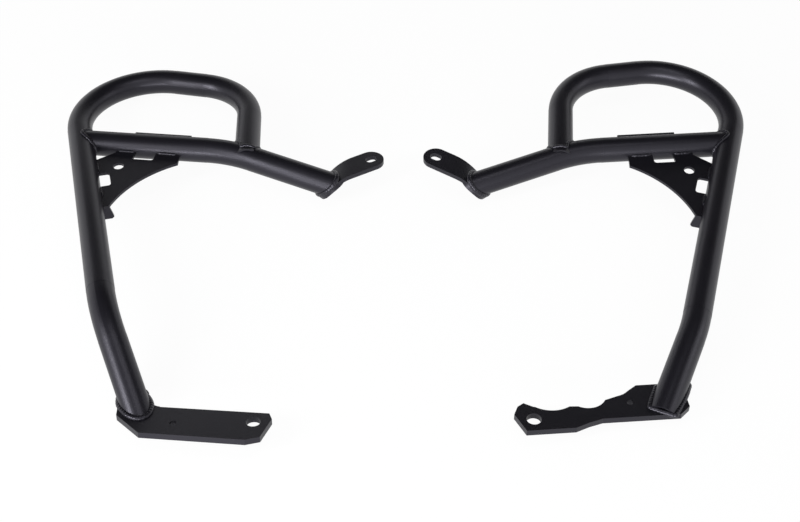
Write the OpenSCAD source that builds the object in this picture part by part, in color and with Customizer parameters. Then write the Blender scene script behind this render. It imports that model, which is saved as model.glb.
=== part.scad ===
// Motorcycle crash bars, a left and a right bar, lying flat beside each other.
// Every bar is drawn in its own frame: the knee of the upright is the origin, +X runs
// inward towards the machine, +Y runs up the upright and +Z out of the hoop's plane.

/* [Tube] */
// Outside diameter of the bent tubes
tube_d = 27; // [25:0.5:29]
// Wall thickness of the tubes
tube_wall = 2; // [1.5:0.1:3]
// Amount by which bending draws the tube in
bend_draw = 0.12; // [0.05:0.01:0.3]

/* [Hoop] */
// Upright, from the knee to the outer top corner
upright_len = 428.7; // [410:0.1:450]
// Outward lean of the upright
upright_lean = 14.94; // [12:0.1:18]
// Top run of the loop, between its two corners
top_len = 218.1; // [205:0.1:230]
// Fall of the top run towards the inner corner
top_fall = 11.2; // [8:0.1:14]
// Inward slant of the return leg
return_slant = 3.4; // [1:0.1:5]
// Centre-line radius of the outer top corner
outer_bend_r = 80; // [70:1:90]
// Centre-line radius of the inner top corner
inner_bend_r = 69; // [60:0.5:72]

/* [Cross tube] */
// Height of the cross tube's joint above the knee, along the upright
joint_up = 278.7; // [265:0.1:290]
// Straight run from the upright to the bend
cross_len = 165.3; // [155:0.1:175]
// Fall of the straight run
cross_fall = 6.2; // [4:0.1:9]
// Run from the bend to the ear
outer_len = 114; // [100:1:125]
// Fall of the outer run
outer_fall = 21.3; // [17:0.1:24]
// Drop of the outer run out of the hoop's plane
outer_drop = 5.9; // [3:0.1:9]
// Centre-line radius of the cross tube's bend
cross_bend_r = 180; // [150:5:220]

/* [Left leg] */
// Leg from the knee to the foot plate
left_leg_len = 95.2; // [85:0.1:105]
// Inward turn of the leg
left_leg_turn = 25; // [20:0.5:30]
// Drop of the leg out of the hoop's plane
left_leg_drop = 26.9; // [23:0.1:31]
// Centre-line radius of the left knee
left_knee_r = 112; // [90:1:130]

/* [Right leg] */
// Height of the right knee along the upright
right_knee_up = 7.2; // [0:0.1:15]
// Leg from the knee to the top of the foot plate
right_leg_len = 78.8; // [70:0.1:90]
// Inward turn of the leg
right_leg_turn = 22.9; // [18:0.1:28]
// Drop of the leg out of the hoop's plane
right_leg_drop = 8; // [5:0.5:11]
// Centre-line radius of the right knee
right_knee_r = 153; // [120:1:180]
// Distance the leg runs on over the plate
right_leg_over = 23; // [15:1:26]

/* [Ears] */
// Width of the ear strip
ear_w = 27; // [24:0.5:30]
// Thickness of the ear strip
ear_t = 5; // [4:0.5:6]
// Distance from the tube's end to the slot, measured inward
ear_reach = 46.4; // [42:0.4:54]
// Direction of the strip, from straight inward
ear_dir = 32; // [26:0.5:36]
// Height of the outer flat above the tube's end
ear_rise = 11; // [8:0.5:14]
// Angle of the ear's bend
ear_bend = 48; // [42:1:54]
// Radius of the bend on the upper face
ear_bend_r = 36; // [20:1:40]
// Width of the ear's slot
ear_slot_w = 9.5; // [8:0.5:11]
// Length of the ear's slot
ear_slot_len = 13; // [12:0.5:16]

/* [Gussets] */
// Thickness of the gusset
gusset_t = 3; // [2:0.5:4]
// Inner end of the gusset along the cross tube
gusset_inner = 38.5; // [34:0.5:44]
// Lower end of the gusset along the upright
gusset_lower = 157; // [150:1:165]
// Radius of the gusset's hollowed edge
gusset_edge_r = 120; // [110:5:150]
// Height of the gusset's square inner end
gusset_end_h = 15; // [12:0.5:17]
// Width of the gusset's square lower end
gusset_end_w = 5.5; // [4:0.5:8]
// Diameter of the round hole
gusset_hole_d = 11; // [9:0.5:12]
// Distance of the round hole inward from the joint
gusset_hole_in = 48.2; // [46:0.2:51]
// Distance of the round hole below the joint
gusset_hole_down = 45.7; // [43:0.1:47]
// Distance of the upper notch from the joint
notch_at = 64; // [58:0.5:67]
// Length of the notch under the cross tube
notch_len = 22.6; // [18:0.2:25]
// Depth of the notch under the cross tube
notch_depth = 12.5; // [10:0.5:15]
// Distance of the side notch from the joint
side_notch_at = 65; // [60:0.5:68]
// Length of the notch beside the upright
side_notch_len = 23; // [18:0.5:26]
// Depth of the notch beside the upright
side_notch_depth = 10.7; // [8:0.1:13]
// Corner radius of the notches
notch_r = 3; // [1:0.5:4]
// Inward length of the cut that clears the joint's weld
corner_cut_in = 43; // [38:1:47]
// Downward length of the cut that clears the joint's weld
corner_cut_down = 30; // [24:1:33]
// Width of the tab folded down at the gusset's lower end
tab_w = 9; // [7:0.5:11]
// Depth of the folded tab below the hoop's plane
tab_depth = 15; // [12:0.5:18]
// Distance of the gusset's weld from its lower end
lower_weld_at = 15; // [12:1:20]

/* [Rear strips] */
// Length of the strip behind the cross tube
strip_len = 62; // [50:1:70]
// Height of the strip
strip_h = 9; // [7:0.5:12]
// Thickness of the strip
strip_t = 3; // [2:0.5:4]
// Distance of the strip from the joint
strip_at = 58; // [45:1:70]
// Depth to which the strip is let down beside the tube's crown
strip_sink = 2.5; // [1:0.5:4]

/* [Foot plates] */
// Thickness of the foot plates
foot_t = 6; // [5:0.5:7]
// Reach of the left plate past the tube
left_foot_reach = 128.6; // [120:0.1:140]
// Width of the left plate
left_foot_w = 38; // [35:0.5:41]
// Reach of the left plate in front of the tube
left_foot_front = 39.4; // [37:0.1:42]
// Reach of the right plate past the tube
right_foot_reach = 145; // [140:1:152]
// Reach of the right plate behind the tube's middle
right_foot_rear = 14.2; // [13:0.1:16]
// Diameter of the mounting holes
foot_hole_d = 13.5; // [11:0.5:14.5]
// Diameter of the small holes
small_hole_d = 6; // [4:0.5:7]
// Distance of the mounting holes from the plates' inner ends
foot_hole_in = 16.6; // [14:0.1:20]
// Tilt of the left plate against the hoop's plane
left_foot_tilt = 9.74; // [7:0.1:13]
// Turn of the left plate
left_foot_yaw = -7.5; // [-11:0.1:-4]
// Tilt of the right plate against the hoop's plane
right_foot_tilt = 8.69; // [6:0.1:11]
// Turn of the right plate
right_foot_yaw = -6.75; // [-10:0.1:-3]

/* [Welds] */
// Size of the weld beads
bead = 3.5; // [2.5:0.5:4.5]
// Clearance of a coped tube end
cope_gap = 0.3; // [0.1:0.1:0.5]

/* [Lay] */
// Fall of the left hoop towards its loop
left_pitch = -4.26; // [-6:0.1:-3]
// Rise of the right hoop towards its loop
right_pitch = 1.69; // [0:0.1:3]
// Turn of the right bar on the ground
right_yaw = -1.75; // [-4:0.1:1]
// Left knee, across the pair
left_x = -280.3; // [-300:0.1:-260]
// Left knee, along the pair
left_y = -136.1; // [-150:0.1:-120]
// Left knee, above the ground
left_z = 49.1; // [45:0.1:60]
// Right knee, across the pair
right_x = 270.8; // [260:0.1:300]
// Right knee, along the pair
right_y = -142.7; // [-155:0.1:-125]
// Right knee, above the ground
right_z = 26.3; // [24:0.1:40]

/* [Hidden] */
$fn = 72;
FINISH = [0.10, 0.10, 0.11];
tube_r = tube_d / 2;
bore_r = tube_r - tube_wall;
far = 400;
weld_r = tube_r + bead;
bend_lap = 1;

function unit(v) = v / norm(v);
function climb(len, lean) = len * [-sin(lean), cos(lean), 0];
function inward(len, fall, drop) =
    len * [cos(drop) * cos(fall), -cos(drop) * sin(fall), -sin(drop)];
function down(len, turn, drop) =
    len * [cos(drop) * sin(turn), -cos(drop) * cos(turn), -sin(drop)];
function fine(x) = round(x * 1000) / 1000;
function setback(r, angle) = r * tan(angle / 2);
function lap_angle(r) = fine(bend_lap / r * 180 / PI);

knee = [0, 0, 0];
outer_corner = climb(upright_len, upright_lean);
inner_corner = outer_corner + inward(top_len, top_fall, 0);
joint = climb(joint_up, upright_lean);
cross_corner = joint + inward(cross_len, cross_fall, 0);
cross_end = cross_corner + inward(outer_len, outer_fall, outer_drop);
return_drop = inner_corner[1] - cross_corner[1] + tube_r;
return_end = inner_corner + down(return_drop / cos(return_slant), return_slant, 0);
right_knee = climb(right_knee_up, upright_lean);
left_foot_at = knee + down(left_leg_len, left_leg_turn, left_leg_drop);
right_foot_at = right_knee + down(right_leg_len, right_leg_turn, right_leg_drop);
outer_way = unit(cross_end - cross_corner);
left_leg_way = unit(left_foot_at - knee);
right_leg_way = unit(right_foot_at - right_knee);

// Bend angles of the hoop's two top corners
outer_turn = 90 + upright_lean + top_fall;
inner_turn = 90 - top_fall - return_slant;
return_len = norm(return_end - inner_corner);
top_table = [
    [fine(upright_len - joint_up - setback(outer_bend_r, outer_turn)), 0, outer_bend_r, outer_turn],
    [fine(top_len - setback(outer_bend_r, outer_turn) - setback(inner_bend_r, inner_turn)),
        0, inner_bend_r, inner_turn],
    [fine(return_len - setback(inner_bend_r, inner_turn))]
];

// Bend and roll that turn a run along +Z into a direction seen in its own frame
function bend_to(way) = fine(acos(way[2]));
function roll_to(way) = fine(atan2(way[1], way[0]));
function seen_down(way) = [
    way * [cos(upright_lean), sin(upright_lean), 0],
    way[2],
    way * [sin(upright_lean), -cos(upright_lean), 0]
];
function leg_table(knee_up, way, len, r) = [
    [fine(joint_up - knee_up - setback(r, bend_to(seen_down(way)))),
        roll_to(seen_down(way)), r, bend_to(seen_down(way))],
    [fine(len - setback(r, bend_to(seen_down(way))))]
];
seen_across = [
    -outer_way[2],
    outer_way * [sin(cross_fall), cos(cross_fall), 0],
    outer_way * [cos(cross_fall), -sin(cross_fall), 0]
];
bend_steps = 24;
cross_setback = setback(cross_bend_r, bend_to(seen_across));
function cross_table(over) = [
    [fine(cross_len - cross_setback), roll_to(seen_across), cross_bend_r, bend_to(seen_across)],
    [fine(outer_len - cross_setback + over)]
];

ear_corner = ear_rise / tan(ear_bend);
ear_tangent = ear_bend_r * tan(ear_bend / 2);
ear_slot_at = [cross_end[0] + ear_reach, cross_end[1] + ear_reach * tan(ear_dir)];
lobe_r = ear_w / 2 / cos(ear_dir) + 0.4;
gusset_top = gusset_t / 2;

// Moves the child's +Z onto a direction, with +X turned towards a second one
module aim(at, way, side) {
    z = unit(way);
    x = unit(side - (side * z) * z);
    y = cross(z, x);
    multmatrix([
        [x[0], y[0], z[0], at[0]],
        [x[1], y[1], z[1], at[1]],
        [x[2], y[2], z[2], at[2]],
        [0, 0, 0, 1]
    ]) children();
}

module ring(r, bore) {
    difference() {
        circle(r);
        if (bore > 0) circle(bore);
    }
}

// A straight rod between two points
module straight(a, b, r) {
    aim(a, b - a, [0, 0, 1]) cylinder(r = r, h = norm(b - a));
}

// A bent tube from a bend table: each row is a straight length, then the roll, the
// radius and the angle of the bend that follows it. It starts along +Z and bends to +X.
module bent(table, r, bore, i = 0) {
    len = table[i][0];
    linear_extrude(len) ring(r, bore);
    if (i < len(table) - 1) {
        bend_r = table[i][2];
        angle = table[i][3];
        translate([0, 0, len]) rotate([0, 0, table[i][1]]) {
            translate([bend_r, 0, 0]) rotate([90, 0, 180]) rotate([0, 0, -lap_angle(bend_r)])
                rotate_extrude(angle = angle + 2 * lap_angle(bend_r), $fn = 180)
                    translate([bend_r, 0]) ring(r - bend_draw, bore + sign(bore) * bend_draw, $fn = 72);
            translate([bend_r, 0, 0]) rotate([0, angle, 0]) translate([-bend_r, 0, 0])
                bent(table, r, bore, i + 1);
        }
    }
}

module upright_rod(r) {
    straight(climb(joint_up - 80, upright_lean), climb(joint_up + 25, upright_lean), r);
}

module upright_side(r) {
    straight(climb(40, upright_lean), climb(joint_up + 12, upright_lean), r);
}

module return_rod(r) {
    straight(return_end + 60 * unit(inner_corner - return_end), return_end, r);
}

module cross_run(over, r, bore = 0) {
    translate(joint) rotate([0, 0, -cross_fall]) rotate([0, 90, 0])
        bent(cross_table(over), r, bore);
}

// The bend of the cross tube alone, run on past both its ends
module cross_bend(r) {
    angle = bend_to(seen_across);
    translate(joint) rotate([0, 0, -cross_fall]) rotate([0, 90, 0])
        translate([0, 0, cross_len - cross_setback]) rotate([0, 0, roll_to(seen_across)])
            translate([cross_bend_r, 0, 0]) rotate([90, 0, 180]) rotate([0, 0, -angle])
                rotate_extrude(angle = 3 * angle, $fn = 720) translate([cross_bend_r, 0]) circle(r, $fn = 72);
}

module cross_stub(len, r) {
    straight(joint, joint + inward(len, cross_fall, 0), r);
}

module left_foot_frame() {
    translate(left_foot_at) rotate([-left_foot_tilt, 0, 0]) rotate([0, 0, left_foot_yaw]) children();
}

module right_foot_frame() {
    translate(right_foot_at) rotate([-right_foot_tilt, 0, 0]) rotate([0, 0, right_foot_yaw]) children();
}

// Line of the ear's upper face across its bend, moved down by a depth
function ear_line(depth) = let (
    c = [ear_corner + ear_tangent, ear_rise - ear_bend_r],
    r = ear_bend_r - depth,
    slope = [cos(ear_bend), sin(ear_bend)]
) concat(
    [c + r * [-sin(ear_bend), cos(ear_bend)] - 90 * slope],
    [for (i = [0 : bend_steps]) let (a = ear_bend * (1 - i / bend_steps)) c + r * [-sin(a), cos(a)]],
    [[150, ear_rise - depth]]
);

function arc(centre, r, start, end) = [
    for (i = [0 : bend_steps]) let (a = start + (end - start) * i / bend_steps) centre + r * [cos(a), sin(a)]
];
function reversed(line) = [for (i = [len(line) - 1 : -1 : 0]) line[i]];

// Places a shape drawn across the ear's bend line, with the bend line along Y
module across_ear() {
    translate(cross_end) rotate([90, 0, 0]) translate([0, 0, -50]) linear_extrude(100) children();
}

// The plane face on which the tube's end stands, and what lies behind it up to a reach
module behind_ear_face(lift, reach = far) {
    across_ear() rotate(ear_bend) translate([-far, -far + lift]) square([far + reach, far]);
}

module ear_sheet() {
    across_ear() polygon(concat(ear_line(0), reversed(ear_line(ear_t))));
}

module under_ear() {
    across_ear() polygon(concat(ear_line(0), [[150, -100], [-60, -100]]));
}

module ear_outline() {
    run = ear_reach / cos(ear_dir) + 20;
    translate(ear_slot_at) rotate(ear_dir)
        polygon(concat(arc([0, 0], ear_w / 2, -90, 90), [[-run, ear_w / 2], [-run, -ear_w / 2]]));
}

module ear_plate() {
    color(FINISH) difference() {
        union() {
            intersection() {
                ear_sheet();
                translate([0, 0, cross_end[2] - 60]) linear_extrude(120) intersection() {
                    ear_outline();
                    translate([cross_end[0], 0]) square([far, far]);
                }
            }
            intersection() {
                ear_sheet();
                translate(cross_end) rotate([0, -ear_bend, 0])
                    translate([0, 0, -20]) cylinder(r = lobe_r, h = 26);
            }
        }
        translate([ear_slot_at[0], ear_slot_at[1], cross_end[2] - 20]) rotate([0, 0, ear_dir])
            linear_extrude(60) slot(ear_slot_len, ear_slot_w);
    }
}

module slot(length, width) {
    run = length - width;
    translate([-run / 2, 0]) circle(width / 2);
    translate([run / 2, 0]) circle(width / 2);
    translate([-run / 2, -width / 2]) square([run, width]);
}

module ear_weld() {
    color(FINISH) difference() {
        intersection() {
            straight(cross_end - 40 * outer_way, cross_end + 40 * outer_way, weld_r);
            behind_ear_face(bead, tube_r / sin(ear_bend) + bead / 2);
        }
        under_ear();
        difference() {
            straight(cross_end - 45 * outer_way, cross_end + 45 * outer_way, tube_r);
            behind_ear_face(0);
        }
    }
}

module cross_tube() {
    color(FINISH) difference() {
        cross_run(40, tube_r, bore_r);
        upright_rod(tube_r + cope_gap);
        behind_ear_face(0);
    }
}

module joint_weld() {
    color(FINISH) difference() {
        intersection() {
            upright_rod(weld_r);
            cross_stub(60, weld_r);
        }
        upright_rod(tube_r + cope_gap);
        cross_stub(60, tube_r);
    }
}

module loop_weld() {
    color(FINISH) difference() {
        intersection() {
            return_rod(weld_r);
            cross_bend(weld_r);
        }
        cross_bend(tube_r + cope_gap);
        return_rod(tube_r);
    }
}

module hoop(leg) {
    difference() {
        translate(joint) rotate([0, 0, upright_lean]) {
            rotate([-90, 0, 0]) bent(top_table, tube_r, bore_r);
            rotate([90, 0, 0]) bent(leg, tube_r, bore_r);
        }
        cross_bend(tube_r + cope_gap);
    }
}

// Gusset outline: its hollowed edge is one arc between the inner and the lower end
module gusset_outline() {
    low = climb(gusset_lower, upright_lean);
    a = [gusset_inner, cross_line(gusset_inner) - tube_r - gusset_end_h];
    b = [low[0] + tube_r + gusset_end_w, gusset_lower];
    mid = (a + b) / 2;
    half = norm(a - b) / 2;
    off = sqrt(gusset_edge_r * gusset_edge_r - half * half);
    n = [(a - b)[1], -(a - b)[0]] / norm(a - b);
    difference() {
        polygon([
            [joint[0], joint[1]], [gusset_inner, cross_line(gusset_inner)], a, b,
            [low[0] + tube_r, gusset_lower - 4], [low[0], low[1] - 4]
        ]);
        translate(mid + off * n) circle(gusset_edge_r, $fn = 360);
    }
}

// Height of the cross tube's centre line above a point on the inward axis
function cross_line(x) = joint[1] - (x - joint[0]) * tan(cross_fall);

// The round hole, a notch at each tube and the corner that clears the joint's weld
module gusset_cuts() {
    translate([joint[0] + gusset_hole_in, joint[1] - gusset_hole_down]) circle(gusset_hole_d / 2);
    rotate(upright_lean) translate([0, joint_up - side_notch_at - side_notch_len])
        rounded(tube_r + side_notch_depth, side_notch_len, notch_r);
    translate([joint[0], joint[1]]) rotate(-cross_fall) {
        translate([notch_at, -tube_r - notch_depth]) rounded(notch_len, 2 * notch_depth, notch_r);
        polygon([
            [0, 0], [corner_cut_in, 0], [corner_cut_in, -tube_r - notch_r],
            [tube_r, -tube_r - corner_cut_down], [0, -tube_r - corner_cut_down]
        ]);
    }
}

module rounded(w, h, r) {
    translate([0, r]) square([w, h - 2 * r]);
    translate([0, 0]) square([w - r, h]);
    translate([r, 0]) square([w - 2 * r, h]);
    for (y = [r, h - r]) translate([w - r, y]) circle(r, $fn = 24);
}

module gusset_plate() {
    color(FINISH) difference() {
        union() {
            translate([0, 0, -gusset_top]) linear_extrude(gusset_t) difference() {
                gusset_outline();
                gusset_cuts();
            }
            rotate([0, 0, upright_lean]) translate([0, gusset_lower + gusset_top, 0])
                rotate([90, 0, 0]) linear_extrude(gusset_t) polygon([
                    [tube_r / 2, gusset_top], [tube_r + gusset_end_w, gusset_top],
                    [tube_r + tab_w, 2 - tab_depth], [tube_r + tab_w - 2, -tab_depth],
                    [tube_r / 2, -tab_depth]
                ]);
        }
        upright_side(tube_r);
        cross_stub(130, tube_r);
    }
}

// Beads on both faces of the gusset, along each stretch where it meets a tube
module gusset_weld() {
    color(FINISH) difference() {
        intersection() {
            union() {
                upright_side(weld_r);
                cross_stub(130, weld_r);
            }
            translate([0, 0, -gusset_top - bead]) linear_extrude(gusset_t + 2 * bead) difference() {
                gusset_outline();
                gusset_cuts();
            }
            translate([0, 0, -gusset_top - bead]) linear_extrude(gusset_t + 2 * bead)
                rotate(upright_lean) translate([0, gusset_lower + lower_weld_at])
                    square([200, 200]);
        }
        translate([-far, -far, -gusset_top]) cube([2 * far, 2 * far, gusset_t]);
        upright_side(tube_r);
        cross_stub(130, tube_r);
    }
}

module cross_strip() {
    color(FINISH) difference() {
        translate(joint) rotate([0, 0, -cross_fall])
            translate([strip_at, tube_r - strip_sink, -1]) cube([strip_len, strip_t, strip_h]);
        cross_stub(130, tube_r);
    }
}

// Straight plate with a round heel that reaches up behind the tube
module left_foot_outline() {
    reach = left_foot_reach;
    front = -left_foot_front;
    rear = front + left_foot_w;
    difference() {
        polygon(concat(
            [
                [15.2, front], [reach - 18.5, front + 2.4], [reach - 6, front + 8],
                [reach - 1, rear - 4], [reach - 5, rear + 3.5], [24, rear]
            ],
            arc([-4, 11], tube_r, 13, 193),
            [[-tube_r - 1, -4.5], [-11.6, -17.8]]
        ));
        translate([24.5, rear + 15.5]) circle(15);
    }
}

module left_foot_plate() {
    color(FINISH) left_foot_frame() translate([0, 0, -foot_t]) linear_extrude(foot_t) difference() {
        left_foot_outline();
        translate([left_foot_reach - foot_hole_in, -11.3]) circle(foot_hole_d / 2);
        translate([41.8, -22.2]) circle(small_hole_d / 2);
    }
}

// Scalloped plate: straight front with one waist, two hollows along the rear edge
module right_foot_outline() {
    reach = right_foot_reach;
    difference() {
        polygon([
            [-4, -25.4], [67, -25.4], [80, -29.2], [92.6, -34.4], [reach - 8, -34.5], [reach, -13.5],
            [reach - 4.4, -4.2], [reach - 10.4, -0.1], [reach - 18.7, -5.5],
            [86, -8.2], [73, -8.2], [62.2, -2.9], [42.6, 3.7],
            [28.3, right_foot_rear], [-6, right_foot_rear],
            [-14, 4], [-14, -16.3]
        ]);
        translate([108, 16]) circle(27.5);
        translate([76, 7]) circle(18.2);
        translate([52, 22]) circle(20.5);
        translate([98, -84]) circle(49.6, $fn = 120);
    }
}

module right_foot_plate() {
    color(FINISH) right_foot_frame() translate([0, 0, -foot_t]) linear_extrude(foot_t) difference() {
        right_foot_outline();
        translate([right_foot_reach - foot_hole_in, -20.6]) circle(foot_hole_d / 2);
        translate([38.6, -7]) circle(small_hole_d / 2);
    }
}

module left_hoop_tube() {
    color(FINISH) difference() {
        hoop(leg_table(0, left_leg_way, left_leg_len + 40, left_knee_r));
        left_foot_frame() translate([-100, -100, -100]) cube([200, 200, 100]);
    }
}

module left_foot_weld() {
    color(FINISH) difference() {
        intersection() {
            straight(knee, left_foot_at + 40 * left_leg_way, weld_r);
            left_foot_frame() translate([-100, -100, 0]) cube([200, 200, bead]);
        }
        straight(knee, left_foot_at + 45 * left_leg_way, tube_r);
    }
}

// The right leg lies over the plate: notched under, and cut square past its middle
module right_hoop_tube() {
    color(FINISH) difference() {
        hoop(leg_table(right_knee_up, right_leg_way, right_leg_len + right_leg_over + 30, right_knee_r));
        right_foot_frame() translate([-100, right_foot_rear + cope_gap - 100, -100]) cube([200, 100, 100]);
        aim(right_foot_at + right_leg_over * right_leg_way, right_leg_way, [0, 0, 1])
            cylinder(r = 40, h = 60);
    }
}

module right_foot_weld() {
    color(FINISH) difference() {
        intersection() {
            straight(
                right_foot_at - 10 * right_leg_way, right_foot_at + (right_leg_over - 1) * right_leg_way,
                weld_r
            );
            right_foot_frame() linear_extrude(bead) right_foot_outline();
        }
        straight(
            right_foot_at - 60 * right_leg_way, right_foot_at + (right_leg_over + 10) * right_leg_way,
            tube_r
        );
    }
}

// The pair lies on the ground, each bar at its own slope
module left_bar() {
    translate([left_x, left_y, left_z]) rotate([left_pitch, 0, 0]) children();
}

module right_bar() {
    translate([right_x, right_y, right_z]) rotate([right_pitch, 0, right_yaw]) mirror([1, 0, 0]) children();
}

left_bar() left_hoop_tube();
left_bar() cross_tube();  // left_cross_tube
left_bar() gusset_plate();  // left_gusset_plate
left_bar() cross_strip();  // left_cross_strip
left_bar() ear_plate();  // left_ear_plate
left_bar() left_foot_plate();
left_bar() joint_weld();  // left_joint_weld
left_bar() loop_weld();  // left_loop_weld
left_bar() ear_weld();  // left_ear_weld
left_bar() left_foot_weld();
left_bar() gusset_weld();  // left_gusset_weld
right_bar() right_hoop_tube();
right_bar() cross_tube();  // right_cross_tube
right_bar() gusset_plate();  // right_gusset_plate
right_bar() cross_strip();  // right_cross_strip
right_bar() ear_plate();  // right_ear_plate
right_bar() right_foot_plate();
right_bar() joint_weld();  // right_joint_weld
right_bar() loop_weld();  // right_loop_weld
right_bar() ear_weld();  // right_ear_weld
right_bar() right_foot_weld();
right_bar() gusset_weld();  // right_gusset_weld
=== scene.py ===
"""Motorcycle crash bars: powder coat, rippled weld beads, floor, light and camera."""

import logging
import math
from dataclasses import dataclass
from enum import Enum
from typing import Any, Callable, Sequence, Union

import bmesh
import bpy
from mathutils import Matrix, Vector

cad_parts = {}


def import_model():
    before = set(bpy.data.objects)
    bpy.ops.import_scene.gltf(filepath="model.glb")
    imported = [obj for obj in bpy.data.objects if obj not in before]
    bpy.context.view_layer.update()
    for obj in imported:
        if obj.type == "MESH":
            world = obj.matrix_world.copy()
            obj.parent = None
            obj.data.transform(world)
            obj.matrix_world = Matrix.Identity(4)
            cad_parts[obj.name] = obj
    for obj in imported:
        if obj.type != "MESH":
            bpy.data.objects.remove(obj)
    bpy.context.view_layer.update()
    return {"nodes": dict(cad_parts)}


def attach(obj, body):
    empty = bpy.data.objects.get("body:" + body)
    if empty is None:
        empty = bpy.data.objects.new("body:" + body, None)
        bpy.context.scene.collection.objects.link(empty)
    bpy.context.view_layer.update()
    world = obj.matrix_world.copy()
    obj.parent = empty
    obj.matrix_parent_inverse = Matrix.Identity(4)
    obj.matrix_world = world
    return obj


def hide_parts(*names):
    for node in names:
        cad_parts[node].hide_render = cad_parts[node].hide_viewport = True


log = logging.getLogger("crash_bars")

MM = 0.001
Z_AXIS = Vector((0.0, 0.0, 1.0))
SLOPE_STEP = 0.01
HALVINGS = 30

Tint = Union[bpy.types.NodeSocket, Sequence[float]]
Rectangle = tuple[float, float, float, float]


class Side(Enum):
    """The two bars of the pair."""

    LEFT = "left"
    RIGHT = "right"


class Surface(Enum):
    """The record's material slots."""

    TUBE = "tube"
    PLATE = "plate"
    WELD = "weld"


class Value:
    """A shader socket whose arithmetic adds Math nodes."""

    def __init__(self, shader: "Shader", socket: bpy.types.NodeSocket) -> None:
        """Wraps one output socket of a shader."""
        self.shader = shader
        self.socket = socket

    def _math(self, operation: str, first: Any, second: Any) -> "Value":
        """Adds one Math node.

        Args:
            operation: The Math node's operation.
            first: The first number or value.
            second: The second number or value.

        Returns:
            The node's result.
        """
        inputs = {0: first, 1: second}
        node = self.shader.node("ShaderNodeMath", {"operation": operation}, inputs)
        return Value(self.shader, node.outputs[0])

    def __add__(self, other: Any) -> "Value":
        """Sum."""
        return self._math("ADD", self, other)

    __radd__ = __add__

    def __sub__(self, other: Any) -> "Value":
        """Difference."""
        return self._math("SUBTRACT", self, other)

    def __rsub__(self, other: Any) -> "Value":
        """Difference from a number."""
        return self._math("SUBTRACT", other, self)

    def __mul__(self, other: Any) -> "Value":
        """Product."""
        return self._math("MULTIPLY", self, other)

    __rmul__ = __mul__

    def over(self, limit: float) -> "Value":
        """1 where the value passes a limit, else 0."""
        return self._math("GREATER_THAN", self, limit)

    def larger(self, other: Any) -> "Value":
        """The larger of two values."""
        return self._math("MAXIMUM", self, other)


class Shader:
    """The node tree of one material or world."""

    def __init__(self, tree: bpy.types.NodeTree) -> None:
        """Takes over a tree and empties it."""
        self.tree = tree
        self.tree.nodes.clear()

    def node(self, kind: str, settings: dict, inputs: dict) -> bpy.types.Node:
        """Adds a node.

        Args:
            kind: The node's type name.
            settings: Attributes, which are set first.
            inputs: Numbers, values or sockets by socket name or number.

        Returns:
            The new node.
        """
        made = self.tree.nodes.new(kind)
        for name, setting in settings.items():
            setattr(made, name, setting)
        for key, given in inputs.items():
            socket = made.inputs[key]
            if isinstance(given, Value):
                self.tree.links.new(given.socket, socket)
            elif isinstance(given, bpy.types.NodeSocket):
                self.tree.links.new(given, socket)
            else:
                socket.default_value = given
        return made

    def noise(self, scale: float, detail: float, roughness: float = 0.5) -> Value:
        """Noise in the row's own coordinates.

        Args:
            scale: Cells to the metre.
            detail: Octaves.
            roughness: Weight of the finer octaves.

        Returns:
            The noise from 0 to 1.
        """
        place = self.node("ShaderNodeTexCoord", {}, {}).outputs["Object"]
        made = self.node(
            "ShaderNodeTexNoise",
            {},
            {"Vector": place, "Scale": scale, "Detail": detail, "Roughness": roughness},
        )
        return Value(self, made.outputs[0])

    def blend(self, factor: Value, low: Tint, high: Tint) -> bpy.types.NodeSocket:
        """Mixes two colours.

        Args:
            factor: 0 for the first colour and 1 for the second.
            low: The first colour, or the socket that gives it.
            high: The second colour, or the socket that gives it.

        Returns:
            The mixed colour's socket.
        """
        first, second = (
            tint if isinstance(tint, bpy.types.NodeSocket) else (*tint, 1) for tint in (low, high)
        )
        inputs = {"Factor": factor, 6: first, 7: second}
        return self.node("ShaderNodeMix", {"data_type": "RGBA"}, inputs).outputs[2]


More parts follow.
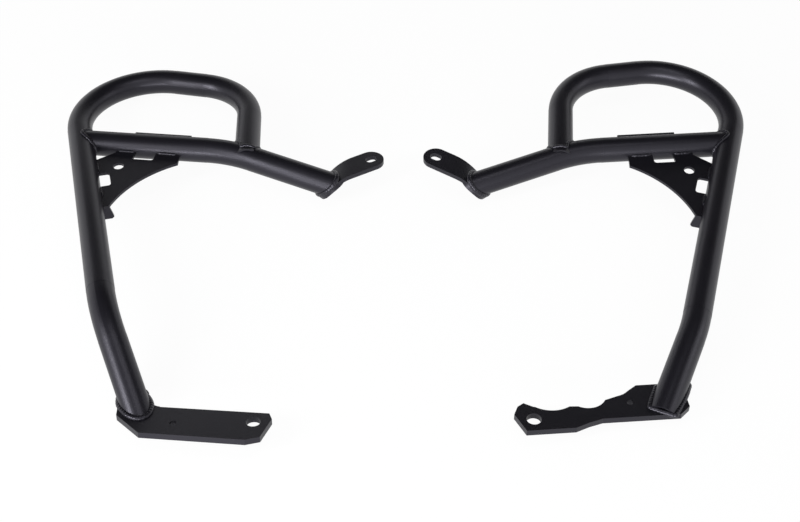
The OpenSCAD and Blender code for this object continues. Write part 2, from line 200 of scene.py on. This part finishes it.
@dataclass(frozen=True)
class PowderCoat:
    """Satin black powder coat: a faint orange peel, cloudy gloss and specks of dust.

    Colours are linear, scales are in cells to the metre and heights are in metres.
    """

    surface: Surface
    low: tuple[float, float, float] = (0.0040, 0.0038, 0.0054)
    high: tuple[float, float, float] = (0.0068, 0.0064, 0.0088)
    dust: tuple[float, float, float] = (0.060, 0.058, 0.062)
    gloss_low: float = 0.30
    gloss_high: float = 0.40
    cloud_scale: float = 14.0
    cloud_weight: float = 0.55
    patch_scale: float = 85.0
    patch_roughness: float = 0.6
    peel_scale: float = 620.0
    peel_height: float = 0.00006
    grain_scale: float = 2600.0
    grain_height: float = 0.000012
    dust_scale: float = 900.0
    dust_limit: float = 0.80
    dust_share: float = 0.5
    specular: float = 0.38
    sheen: tuple[float, float, float] = (0.88, 0.86, 1.0)

    def material(self) -> bpy.types.Material:
        """Builds the coat.

        Returns:
            The finished material.
        """
        made = bpy.data.materials.new(f"powder_coat_{self.surface.value}")
        made.use_nodes = True
        shader = Shader(made.node_tree)
        cloud = shader.noise(self.cloud_scale, detail=3.0)
        patch = shader.noise(self.patch_scale, detail=4.0, roughness=self.patch_roughness)
        peel = shader.noise(self.peel_scale, detail=2.0)
        grain = shader.noise(self.grain_scale, detail=1.0)
        specks = shader.noise(self.dust_scale, detail=1.0).over(self.dust_limit) * self.dust_share
        body = shader.blend(cloud, self.low, self.high)
        speckled = shader.blend(specks, body, self.dust)
        mottle = cloud * self.cloud_weight + patch * (1 - self.cloud_weight)
        rough = mottle * (self.gloss_high - self.gloss_low) + self.gloss_low
        relief = peel * self.peel_height + grain * self.grain_height
        bump = shader.node(
            "ShaderNodeBump", {}, {"Strength": 1.0, "Distance": 1.0, "Height": relief}
        )
        coat = shader.node(
            "ShaderNodeBsdfPrincipled",
            {},
            {
                "Base Color": speckled,
                "Roughness": rough,
                "Specular IOR Level": self.specular,
                "Specular Tint": (*self.sheen, 1),
                "Normal": bump.outputs[0],
            },
        )
        shader.node("ShaderNodeOutputMaterial", {}, {"Surface": coat.outputs[0]})
        return made


def turned(length: float, turn: float, drop: float, base: float) -> Vector:
    """A run in a bar's own frame.

    Args:
        length: Its length.
        turn: Degrees from the base direction, in the hoop's plane.
        drop: Degrees out of the hoop's plane.
        base: The base direction in degrees from the inward axis.

    Returns:
        The vector along the run.
    """
    angle, fall = math.radians(base + turn), math.radians(drop)
    flat = math.cos(fall)
    return length * Vector((flat * math.cos(angle), flat * math.sin(angle), -math.sin(fall)))


@dataclass(frozen=True)
class Lay:
    """Where a bar lies on the ground: its knee in millimetres, its slope and its turn."""

    knee: tuple[float, float, float]
    pitch: float
    yaw: float
    mirrored: bool

    def matrix(self) -> Matrix:
        """Takes the bar's millimetres to the row's metres.

        Returns:
            The matrix.
        """
        flip = Matrix.Diagonal((-1, 1, 1, 1)) if self.mirrored else Matrix.Identity(4)
        slope = Matrix.Rotation(math.radians(self.pitch), 4, "X")
        spin = Matrix.Rotation(math.radians(self.yaw), 4, "Z") @ slope
        return Matrix.Scale(MM, 4) @ Matrix.Translation(self.knee) @ spin @ flip


@dataclass(frozen=True)
class Rod:
    """A straight round tube."""

    start: Vector
    way: Vector
    radius: float

    def distance(self, point: Vector) -> float:
        """Signed distance from the tube's surface."""
        away = point - self.start
        return (away - away.dot(self.way) * self.way).length - self.radius

    def across(self, angle: float) -> Vector:
        """Unit vector out of the tube at an angle round it."""
        first = self.way.cross(Z_AXIS).normalized()
        return math.cos(angle) * first + math.sin(angle) * self.way.cross(first)

    def point(self, along: float, angle: float) -> Vector:
        """A point of the surface."""
        return self.start + along * self.way + self.radius * self.across(angle)


@dataclass(frozen=True)
class Bow:
    """A bent round tube, as the points of its centre line."""

    line: tuple[Vector, ...]
    radius: float

    def distance(self, point: Vector) -> float:
        """Signed distance from the tube's surface.

        Args:
            point: Where to measure from.

        Returns:
            The distance, negative inside the tube.
        """
        best = math.inf
        for start, end in zip(self.line, self.line[1:]):
            run = end - start
            share = min(1.0, max(0.0, (point - start).dot(run) / run.length_squared))
            best = min(best, (point - start - share * run).length)
        return best - self.radius


@dataclass(frozen=True)
class Face:
    """A plane face of a plate."""

    at: Vector
    normal: Vector

    def distance(self, point: Vector) -> float:
        """Signed distance from the plane."""
        return (point - self.at).dot(self.normal)


Solid = Union[Rod, Bow, Face]


def outward(solid: Solid, point: Vector) -> Vector:
    """Direction in which the distance from a solid grows fastest.

    Args:
        solid: The solid.
        point: A point at or near its surface.

    Returns:
        The unit vector.
    """
    slopes = []
    for axis in range(3):
        ahead = point.copy()
        ahead[axis] += SLOPE_STEP
        slopes.append(solid.distance(ahead) - solid.distance(point))
    return Vector(slopes).normalized()


@dataclass
class BarShape:
    """The sizes and axes of a bar that its weld beads follow, in millimetres and degrees."""

    side: Side
    lay: Lay
    leg_len: float
    leg_turn: float
    leg_drop: float
    knee_up: float
    foot_tilt: float
    foot_yaw: float
    leg_over: float = 0.0
    foot_rear: float = 0.0
    tube_r: float = 13.5
    lean: float = 14.94
    upright_len: float = 428.7
    top_len: float = 218.1
    top_fall: float = 11.2
    return_slant: float = 3.4
    joint_up: float = 278.7
    cross_len: float = 165.3
    cross_fall: float = 6.2
    outer_len: float = 114.0
    outer_fall: float = 21.3
    outer_drop: float = 5.9
    cross_bend_r: float = 180.0
    ear_bend: float = 48.0
    cope_gap: float = 0.3

    def __post_init__(self) -> None:
        """Works out the corner points."""
        up = turned(1.0, self.lean, 0.0, 90.0)
        self.joint = self.joint_up * up
        self.cross_way = turned(1.0, -self.cross_fall, 0.0, 0.0)
        self.cross_corner = self.joint + self.cross_len * self.cross_way
        self.outer_way = turned(1.0, -self.outer_fall, self.outer_drop, 0.0)
        self.cross_end = self.cross_corner + self.outer_len * self.outer_way
        self.inner_corner = self.upright_len * up + turned(self.top_len, -self.top_fall, 0.0, 0.0)
        self.leg_way = turned(1.0, self.leg_turn, self.leg_drop, -90.0)
        self.foot_at = self.knee_up * up + self.leg_len * self.leg_way
        tilt = Matrix.Rotation(math.radians(-self.foot_tilt), 3, "X")
        self.foot_turn = tilt @ Matrix.Rotation(math.radians(self.foot_yaw), 3, "Z")
        self.upright = Rod(Vector((0.0, 0.0, 0.0)), up, self.tube_r)
        self.cross = Rod(self.joint, self.cross_way, self.tube_r)
        self.outer = Rod(self.cross_end, self.outer_way, self.tube_r)
        self.leg = Rod(self.foot_at, self.leg_way, self.tube_r)
        self.foot_face = Face(self.foot_at, self.foot_turn @ Z_AXIS)
        bend = math.radians(self.ear_bend)
        self.ear_face = Face(self.cross_end, Vector((-math.sin(bend), 0.0, math.cos(bend))))

    def return_leg(self) -> Rod:
        """The return leg of the loop, seen from its end upwards.

        Returns:
            The rod, which starts below the crown of the cross tube.
        """
        way = turned(1.0, self.return_slant, 0.0, -90.0)
        drop = self.inner_corner.y - self.cross_corner.y + self.tube_r
        length = drop / math.cos(math.radians(self.return_slant))
        return Rod(self.inner_corner + length * way, -way, self.tube_r)

    def cross_bow(self) -> Bow:
        """The cut that clears the cross tube's bend, with both its runs.

        Returns:
            The bent tube, wider than the cross tube by the cope's gap.
        """
        angle = self.cross_way.angle(self.outer_way)
        setback = self.cross_bend_r * math.tan(angle / 2)
        start = self.cross_corner - setback * self.cross_way
        along = self.outer_way.dot(self.cross_way)
        towards = (self.outer_way - along * self.cross_way).normalized()
        centre = start + self.cross_bend_r * towards
        steps = 16
        arc = []
        for i in range(steps + 1):
            turn = angle * i / steps
            spoke = math.sin(turn) * self.cross_way - math.cos(turn) * towards
            arc.append(centre + self.cross_bend_r * spoke)
        return Bow((self.joint, *arc, self.cross_end), self.tube_r + self.cope_gap)


@dataclass
class Strand:
    """One run of bead: its points and the direction out of the corner at each."""

    points: list[Vector]
    out: list[Vector]
    closed: bool

    def resampled(self, step: float) -> "Strand":
        """The strand with evenly spaced points.

        Args:
            step: The wanted spacing.

        Returns:
            The new strand.
        """
        points = self.points + ([self.points[0]] if self.closed else [])
        out = self.out + ([self.out[0]] if self.closed else [])
        reach = [0.0]
        for a, b in zip(points, points[1:]):
            reach.append(reach[-1] + (b - a).length)
        count = max(4, round(reach[-1] / step))
        new_points, new_out, at = [], [], 0
        for i in range(count if self.closed else count + 1):
            want = reach[-1] * i / count
            while at < len(reach) - 2 and reach[at + 1] < want:
                at += 1
            share = (want - reach[at]) / max(1e-9, reach[at + 1] - reach[at])
            new_points.append(points[at].lerp(points[at + 1], share))
            new_out.append(out[at].lerp(out[at + 1], share).normalized())
        return Strand(new_points, new_out, self.closed)

    def length(self) -> float:
        """Length of the strand."""
        points = self.points + ([self.points[0]] if self.closed else [])
        return sum((b - a).length for a, b in zip(points, points[1:]))


@dataclass(frozen=True)
class BeadForm:
    """A rippled weld bead, in millimetres."""

    radius: float
    pitch: float = 3.4
    ripple: float = 0.10
    bow: float = 0.45
    wander: float = 0.07
    long_wave: float = 7.3
    middle_wave: float = 3.1
    short_wave: float = 1.9
    end_size: float = 0.12
    end_growth: float = 0.9
    rings_to_pitch: int = 8
    section: int = 18

    def swell(self, along: float, angle: float) -> float:
        """The bead's radius.

        Args:
            along: Distance along the bead.
            angle: Angle round it, 0 pointing out of the corner.

        Returns:
            The radius there.
        """
        phase = along / self.pitch - self.bow * (1 - math.cos(angle))
        share = phase - math.floor(phase)
        scallop = 1 - (2 * share - 1) ** 2
        drift = (
            math.sin(along / self.long_wave)
            + 0.7 * math.sin(along / self.middle_wave + 1.0)
            + 0.5 * math.sin(along / self.short_wave + angle)
        )
        return self.radius * (1 - self.ripple + self.ripple * scallop + self.wander * drift / 2)

    def sweep(self, mesh: bmesh.types.BMesh, strand: Strand, place: Matrix) -> None:
        """Adds a strand's bead to a mesh.

        Args:
            mesh: The mesh that takes it.
            strand: The run of bead in the bar's frame.
            place: Takes the bar's frame to the row's.
        """
        length = strand.length()
        pitches = max(1, round(length / self.pitch))
        scale = pitches * self.pitch / length
        run = strand.resampled(self.pitch / self.rings_to_pitch)
        count = len(run.points)
        rings = []
        for i, (point, out) in enumerate(zip(run.points, run.out)):
            ahead = run.points[(i + 1) % count] if run.closed or i + 1 < count else point
            behind = run.points[i - 1] if run.closed or i > 0 else point
            tangent = (ahead - behind).normalized()
            up = (out - out.dot(tangent) * tangent).normalized()
            sideways = tangent.cross(up)
            along = length * i / (count if run.closed else count - 1) * scale
            ends = min(i, count - 1 - i) / self.rings_to_pitch
            grown = min(1.0, self.end_size + ends * self.end_growth)
            taper = 1.0 if run.closed else math.sqrt(grown)
            ring = []
            for k in range(self.section):
                angle = 2 * math.pi * k / self.section
                radius = self.swell(along, angle) * taper
                spot = point + radius * (math.cos(angle) * up + math.sin(angle) * sideways)
                ring.append(mesh.verts.new(place @ spot))
            rings.append(ring)
        pairs = list(zip(rings, rings[1:])) + ([(rings[-1], rings[0])] if run.closed else [])
        for first, second in pairs:
            for k in range(self.section):
                n = (k + 1) % self.section
                mesh.faces.new((first[k], first[n], second[n], second[k]))
        if not run.closed:
            mesh.faces.new(rings[0][::-1])
            mesh.faces.new(rings[-1])


def crossing(rod: Rod, other: Solid, low: float, high: float, angle: float) -> float:
    """How far along a rod a line of its surface meets another solid.

    Args:
        rod: The rod.
        other: What it meets.
        low: A place before the crossing.
        high: A place behind it.
        angle: Which line of the rod's surface.

    Returns:
        The distance along the rod, or the near place if the line misses the solid.
    """
    sign = 1.0 if other.distance(rod.point(low, angle)) > 0 else -1.0
    if other.distance(rod.point(high, angle)) * sign > 0:
        return low
    for _ in range(HALVINGS):
        middle = (low + high) / 2
        if other.distance(rod.point(middle, angle)) * sign > 0:
            low = middle
        else:
            high = middle
    return (low + high) / 2


def ring_bead(rod: Rod, other: Solid, low: float, high: float, steps: int = 180) -> Strand:
    """The closed bead round a rod where it meets another solid.

    Args:
        rod: The rod.
        other: What it stands on.
        low: A place along the rod before every crossing.
        high: A place behind every crossing.
        steps: Points round the rod.

    Returns:
        The strand.
    """
    points, out = [], []
    for i in range(steps):
        angle = 2 * math.pi * i / steps
        spot = rod.point(crossing(rod, other, low, high, angle), angle)
        points.append(spot)
        out.append((rod.across(angle) + outward(other, spot)).normalized())
    return Strand(points, out, True)


@dataclass
class Beads:
    """Builds the rippled weld beads of one bar, in millimetres.

    The runs are the stretches of each tube, from the tube's start, that the gusset is welded to.
    """

    shape: BarShape
    reach: float = 40.0
    foot_reach: float = 60.0
    loop_reach: float = 30.0
    search_steps: int = 60
    rear_margin: float = 1.0
    tip_steps: int = 12
    tip_lift: float = 0.6
    gusset_half: float = 1.5
    upright_runs: tuple[tuple[float, float], ...] = ((173.0, 189.5), (215.0, 233.0))
    cross_runs: tuple[tuple[float, float], ...] = ((45.0, 63.0), (88.0, 109.0))
    run_steps: int = 20

    def joint(self) -> list[Strand]:
        """Round the cross tube where it meets the upright.

        Returns:
            The one strand.
        """
        shape = self.shape
        cut = Rod(shape.upright.start, shape.upright.way, shape.tube_r + shape.cope_gap)
        return [ring_bead(shape.cross, cut, 0.0, self.reach)]

    def loop(self) -> list[Strand]:
        """Round the return leg where it meets the cross tube's bend.

        Returns:
            The one strand.
        """
        leg, bow = self.shape.return_leg(), self.shape.cross_bow()
        places = (self.loop_reach * i / self.search_steps for i in range(self.search_steps))
        nearest = min(places, key=lambda along: bow.distance(leg.start + along * leg.way))
        return [ring_bead(leg, bow, nearest, nearest + self.loop_reach)]

    def ear(self) -> list[Strand]:
        """Round the cross tube's end on the ear."""
        return [ring_bead(self.shape.outer, self.shape.ear_face, -self.reach, self.reach)]

    def left_foot(self) -> list[Strand]:
        """Round the leg that stands on its plate."""
        return [ring_bead(self.shape.leg, self.shape.foot_face, -self.reach, self.foot_reach)]

    def right_foot(self) -> list[Strand]:
        """Along both sides of the leg that lies over its plate, and across its cut end.

        Returns:
            The one strand, open at its rear ends.
        """
        shape = self.shape
        leg, plane = shape.leg, shape.foot_face
        sides: list[list[tuple[Vector, Vector]]] = []
        for hand in (1, -1):
            side = []
            for i in range(self.search_steps + 1):
                along = -self.reach + (self.reach + shape.leg_over) * i / self.search_steps
                spot, normal = self._side_point(along, hand)
                local = shape.foot_turn.inverted() @ (spot - shape.foot_at)
                if local.y < shape.foot_rear - self.rear_margin:
                    side.append((spot, (normal + plane.normal).normalized()))
            sides.append(side)
        first, second = sides
        tip = (leg.way + plane.normal).normalized()
        start, end = first[-1][0], second[-1][0]
        lift = self.tip_lift * leg.way
        chord = [
            (start.lerp(end, i / self.tip_steps) + lift, tip) for i in range(1, self.tip_steps)
        ]
        whole = first + chord + second[::-1]
        return [Strand([p for p, _ in whole], [n for _, n in whole], False)]

    def _side_point(self, along: float, hand: int) -> tuple[Vector, Vector]:
        """Where one flank of the leg meets the plate's face.

        Args:
            along: Distance along the leg.
            hand: 1 or -1 for the two flanks.

        Returns:
            The point and the leg's outward normal there.
        """
        leg, plane = self.shape.leg, self.shape.foot_face
        centre = leg.start + along * leg.way
        up = (plane.normal - plane.normal.dot(leg.way) * leg.way).normalized()
        sideways = leg.way.cross(up)
        height = plane.distance(centre) / plane.normal.dot(up)
        down = max(-1.0, min(1.0, height / leg.radius))
        normal = -down * up + hand * math.sqrt(1 - down * down) * sideways
        return centre + leg.radius * normal, normal

    def gusset(self) -> list[Strand]:
        """Short beads on both faces of the gusset, beside both tubes.

        Returns:
            The eight strands.
        """
        shape = self.shape
        inward = Vector((shape.upright.way.y, -shape.upright.way.x, 0.0))
        below = Vector((shape.cross_way.y, -shape.cross_way.x, 0.0))
        runs = [(shape.upright, inward, low, high) for low, high in self.upright_runs]
        runs += [(shape.cross, below, low, high) for low, high in self.cross_runs]
        strands = []
        for rod, towards, low, high in runs:
            depth = math.sqrt(rod.radius**2 - self.gusset_half**2)
            for face in (1, -1):
                normal = Vector((0.0, 0.0, face))
                points = []
                for i in range(self.run_steps + 1):
                    spot = rod.start + (low + (high - low) * i / self.run_steps) * rod.way
                    points.append(spot + depth * towards + self.gusset_half * normal)
                out = [(towards + normal).normalized()] * len(points)
                strands.append(Strand(points, out, False))
        return strands

    def piece(self, name: str, strands: list[Strand], radius: float) -> bpy.types.Object:
        """Makes one object of some strands.

        Args:
            name: The object's name.
            strands: The runs of bead.
            radius: The bead's radius.

        Returns:
            The new object.
        """
        mesh = bmesh.new()
        form = BeadForm(radius=radius)
        for strand in strands:
            form.sweep(mesh, strand, self.shape.lay.matrix())
        bmesh.ops.recalc_face_normals(mesh, faces=mesh.faces)
        data = bpy.data.meshes.new(name)
        mesh.to_mesh(data)
        mesh.free()
        data.polygons.foreach_set("use_smooth", [True] * len(data.polygons))
        made = bpy.data.objects.new(name, data)
        bpy.context.scene.collection.objects.link(made)
        return made


@dataclass
class Bar:
    """One crash bar: dresses its CAD nodes and lays its weld beads. Sizes are in millimetres."""

    shape: BarShape
    coats: dict[Surface, bpy.types.Material]
    nodes: dict[str, bpy.types.Object]
    plate_edge: float = 0.55
    edge_angle: float = 50.0
    edge_segments: int = 2
    joint_bead_r: float = 2.1
    loop_bead_r: float = 1.9
    ear_bead_r: float = 2.6
    foot_bead_r: float = 2.8
    gusset_bead_r: float = 1.9

    def dress(self) -> None:
        """Gives every CAD node its coat, and the plates softened edges."""
        for part, surface in (
            ("hoop_tube", Surface.TUBE),
            ("cross_tube", Surface.TUBE),
            ("gusset_plate", Surface.PLATE),
            ("cross_strip", Surface.PLATE),
            ("ear_plate", Surface.PLATE),
            ("foot_plate", Surface.PLATE),
        ):
            node = self.nodes[f"{self.shape.side.value}_{part}"]
            node.data.materials.clear()
            node.data.materials.append(self.coats[surface])
            if surface is Surface.PLATE:
                self._soften(node)
            log.info("dressed %s", node.name)

    def _soften(self, node: bpy.types.Object) -> None:
        """Rounds a plate's sharp edges a little, as the coat does.

        Args:
            node: The plate's CAD node.
        """
        bevel = node.modifiers.new("edge", "BEVEL")
        bevel.width = self.plate_edge * MM
        bevel.segments = self.edge_segments
        bevel.limit_method = "ANGLE"
        bevel.angle_limit = math.radians(self.edge_angle)
        bevel.harden_normals = False
        bevel.use_clamp_overlap = True

    def weld(self) -> None:
        """Lays the bar's beads in place of the plain CAD ones."""
        beads = Beads(self.shape)
        foot = beads.left_foot if self.shape.side is Side.LEFT else beads.right_foot
        plan: list[tuple[str, Callable[[], list[Strand]], float]] = [
            ("joint", beads.joint, self.joint_bead_r),
            ("loop", beads.loop, self.loop_bead_r),
            ("ear", beads.ear, self.ear_bead_r),
            ("foot", foot, self.foot_bead_r),
            ("gusset", beads.gusset, self.gusset_bead_r),
        ]
        for part, make, radius in plan:
            piece = beads.piece(f"{self.shape.side.value}_{part}_bead", make(), radius)
            piece.data.materials.append(self.coats[Surface.WELD])
            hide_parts(f"{self.shape.side.value}_{part}_weld")
            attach(piece, "root")
            log.info("laid %s, %d faces", piece.name, len(piece.data.polygons))


def hang(
    name: str, data: bpy.types.ID, at: Sequence[float], aim: Sequence[float]
) -> bpy.types.Object:
    """Puts a lamp or a camera in the scene, turned towards a point.

    Args:
        name: The object's name.
        data: The lamp or the camera.
        at: Where it stands.
        aim: The point that it looks at.

    Returns:
        The new object.
    """
    made = bpy.data.objects.new(name, data)
    made.location = at
    made.rotation_euler = (Vector(aim) - Vector(at)).to_track_quat("-Z", "Y").to_euler()
    bpy.context.scene.collection.objects.link(made)
    return made


@dataclass(frozen=True)
class SoftBox:
    """A soft area lamp, in metres and watts."""

    name: str
    at: tuple[float, float, float]
    aim: tuple[float, float, float]
    size: tuple[float, float]
    power: float

    def place(self) -> None:
        """Hangs the lamp."""
        lamp = bpy.data.lights.new(self.name, "AREA")
        lamp.shape = "RECTANGLE"
        lamp.size, lamp.size_y = self.size
        lamp.energy = self.power
        hang(self.name, lamp, self.at, self.aim)


@dataclass
class Studio:
    """Pale floor, white surroundings, a dark flag overhead, soft lamps.

    Boxes give the lowest x and y and then the highest, and all lengths are in metres. The glow
    share is the part of the floor's white that does not take the object's shadow.
    """

    floor_box: Rectangle = (-20.0, -20.0, 20.0, 20.0)
    floor_height: float = -0.0002
    floor_colour: tuple[float, float, float] = (0.86, 0.86, 0.87)
    glow_share: float = 0.95
    sky_light: float = 0.4
    flag_box: Rectangle = (-2.2, -0.5, 2.2, 3.2)
    flag_height: float = 1.5
    flag_colour: tuple[float, float, float] = (0.004, 0.004, 0.004)
    lamps: tuple[SoftBox, ...] = (
        SoftBox("front_box", (-0.30, -1.70, 0.28), (0.0, -0.05, 0.0), (1.7, 0.35), 44.0),
        SoftBox("top_box", (0.1, -0.2, 1.4), (0.0, 0.0, 0.0), (0.9, 0.3), 3.0),
        SoftBox("left_box", (-1.5, -0.9, 0.85), (-0.1, -0.1, 0.0), (0.4, 0.9), 26.0),
        SoftBox("right_box", (1.8, 0.1, 1.0), (0.1, 0.0, 0.0), (0.4, 1.0), 2.5),
    )

    def _background_rays(self, shader: Shader) -> Value:
        """Tells the rays that should meet the plain white background.

        Args:
            shader: The shader that asks.

        Returns:
            1 for those rays, else 0.
        """
        path = shader.node("ShaderNodeLightPath", {}, {})
        names = ("Is Camera Ray", "Is Glossy Ray", "Is Transmission Ray")
        camera, glossy, through = (Value(shader, path.outputs[name]) for name in names)
        return camera.larger(glossy).larger(through)

    def _sheet(self, name: str, box: Rectangle, height: float) -> bpy.types.Object:
        """Lays a flat sheet at a height.

        Args:
            name: The sheet's name.
            box: Its lowest x and y, then its highest, in metres.
            height: How high it lies.

        Returns:
            The new object.
        """
        left, front, right, back = box
        data = bpy.data.meshes.new(name)
        corners = ((left, front), (right, front), (right, back), (left, back))
        data.from_pydata([(x, y, height) for x, y in corners], [], [(0, 1, 2, 3)])
        made = bpy.data.objects.new(name, data)
        bpy.context.scene.collection.objects.link(made)
        return made

    def floor(self) -> None:
        """Lays the floor: white to the eye, with the object's soft shadow on it."""
        made = bpy.data.materials.new("floor_paper")
        made.use_nodes = True
        shader = Shader(made.node_tree)
        paper = shader.node("ShaderNodeBsdfDiffuse", {}, {"Color": (*self.floor_colour, 1)})
        glow = shader.node("ShaderNodeEmission", {}, {"Color": (1, 1, 1, 1), "Strength": 1.0})
        share = self._background_rays(shader) * self.glow_share
        mix = shader.node(
            "ShaderNodeMixShader", {}, {0: share, 1: paper.outputs[0], 2: glow.outputs[0]}
        )
        shader.node("ShaderNodeOutputMaterial", {}, {"Surface": mix.outputs[0]})
        self._sheet("floor", self.floor_box, self.floor_height).data.materials.append(made)

    def flag(self) -> None:
        """Hangs a black card overhead that only reflections see, which keeps the crowns dark."""
        made = bpy.data.materials.new("flag_cloth")
        made.use_nodes = True
        shader = Shader(made.node_tree)
        cloth = shader.node("ShaderNodeBsdfDiffuse", {}, {"Color": (*self.flag_colour, 1)})
        shader.node("ShaderNodeOutputMaterial", {}, {"Surface": cloth.outputs[0]})
        card = self._sheet("flag", self.flag_box, self.flag_height)
        card.data.materials.append(made)
        card.visible_camera = False
        card.visible_diffuse = False
        card.visible_shadow = False

    def world(self) -> None:
        """Sets a soft grey light all round, white to the camera."""
        world = bpy.data.worlds.new("studio")
        world.use_nodes = True
        shader = Shader(world.node_tree)
        rays = self._background_rays(shader)
        strength = rays * (1 - self.sky_light) + self.sky_light
        sky = shader.node(
            "ShaderNodeBackground", {}, {"Color": (1, 1, 1, 1), "Strength": strength}
        )
        shader.node("ShaderNodeOutputWorld", {}, {"Surface": sky.outputs[0]})
        bpy.context.scene.world = world

    def build(self) -> None:
        """Sets up everything around the object."""
        self.floor()
        self.flag()
        self.world()
        for lamp in self.lamps:
            lamp.place()
            log.info("placed %s", lamp.name)


@dataclass(frozen=True)
class Viewpoint:
    """The photograph's camera."""

    at: tuple[float, float, float] = (-0.0048, -0.9236, 0.9016)
    aim: tuple[float, float, float] = (-0.0048, -0.0246, 0.0029)
    lens: float = 56.25
    sensor: float = 36.0

    def place(self) -> None:
        """Sets up the scene's camera."""
        data = bpy.data.cameras.new("photo_camera")
        data.lens, data.sensor_width = self.lens, self.sensor
        data.sensor_fit = "HORIZONTAL"
        bpy.context.scene.camera = hang("photo_camera", data, self.at, self.aim)


def bar_shapes() -> list[BarShape]:
    """The two bars' own sizes.

    Returns:
        The left and the right bar.
    """
    return [
        BarShape(
            side=Side.LEFT,
            lay=Lay((-280.3, -136.1, 49.1), -4.26, 0.0, False),
            leg_len=95.2,
            leg_turn=25.0,
            leg_drop=26.9,
            knee_up=0.0,
            foot_tilt=9.74,
            foot_yaw=-7.5,
        ),
        BarShape(
            side=Side.RIGHT,
            lay=Lay((270.8, -142.7, 26.3), 1.69, -1.75, True),
            leg_len=78.8,
            leg_turn=22.9,
            leg_drop=8.0,
            knee_up=7.2,
            foot_tilt=8.69,
            foot_yaw=-6.75,
            leg_over=23.0,
            foot_rear=14.2,
        ),
    ]


def main() -> None:
    """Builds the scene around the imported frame."""
    logging.basicConfig(level=logging.INFO, format="%(name)s: %(message)s")
    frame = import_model()
    bpy.context.scene.view_settings.view_transform = "Standard"
    Viewpoint().place()
    finishes = (
        PowderCoat(Surface.TUBE),
        PowderCoat(Surface.PLATE, gloss_low=0.32, gloss_high=0.42),
        PowderCoat(Surface.WELD, gloss_low=0.28, gloss_high=0.40, peel_height=0.00004),
    )
    coats = {finish.surface: finish.material() for finish in finishes}
    for shape in bar_shapes():
        bar = Bar(shape, coats, frame["nodes"])
        bar.dress()
        bar.weld()
    Studio().build()


if __name__ == "__main__":
    main()
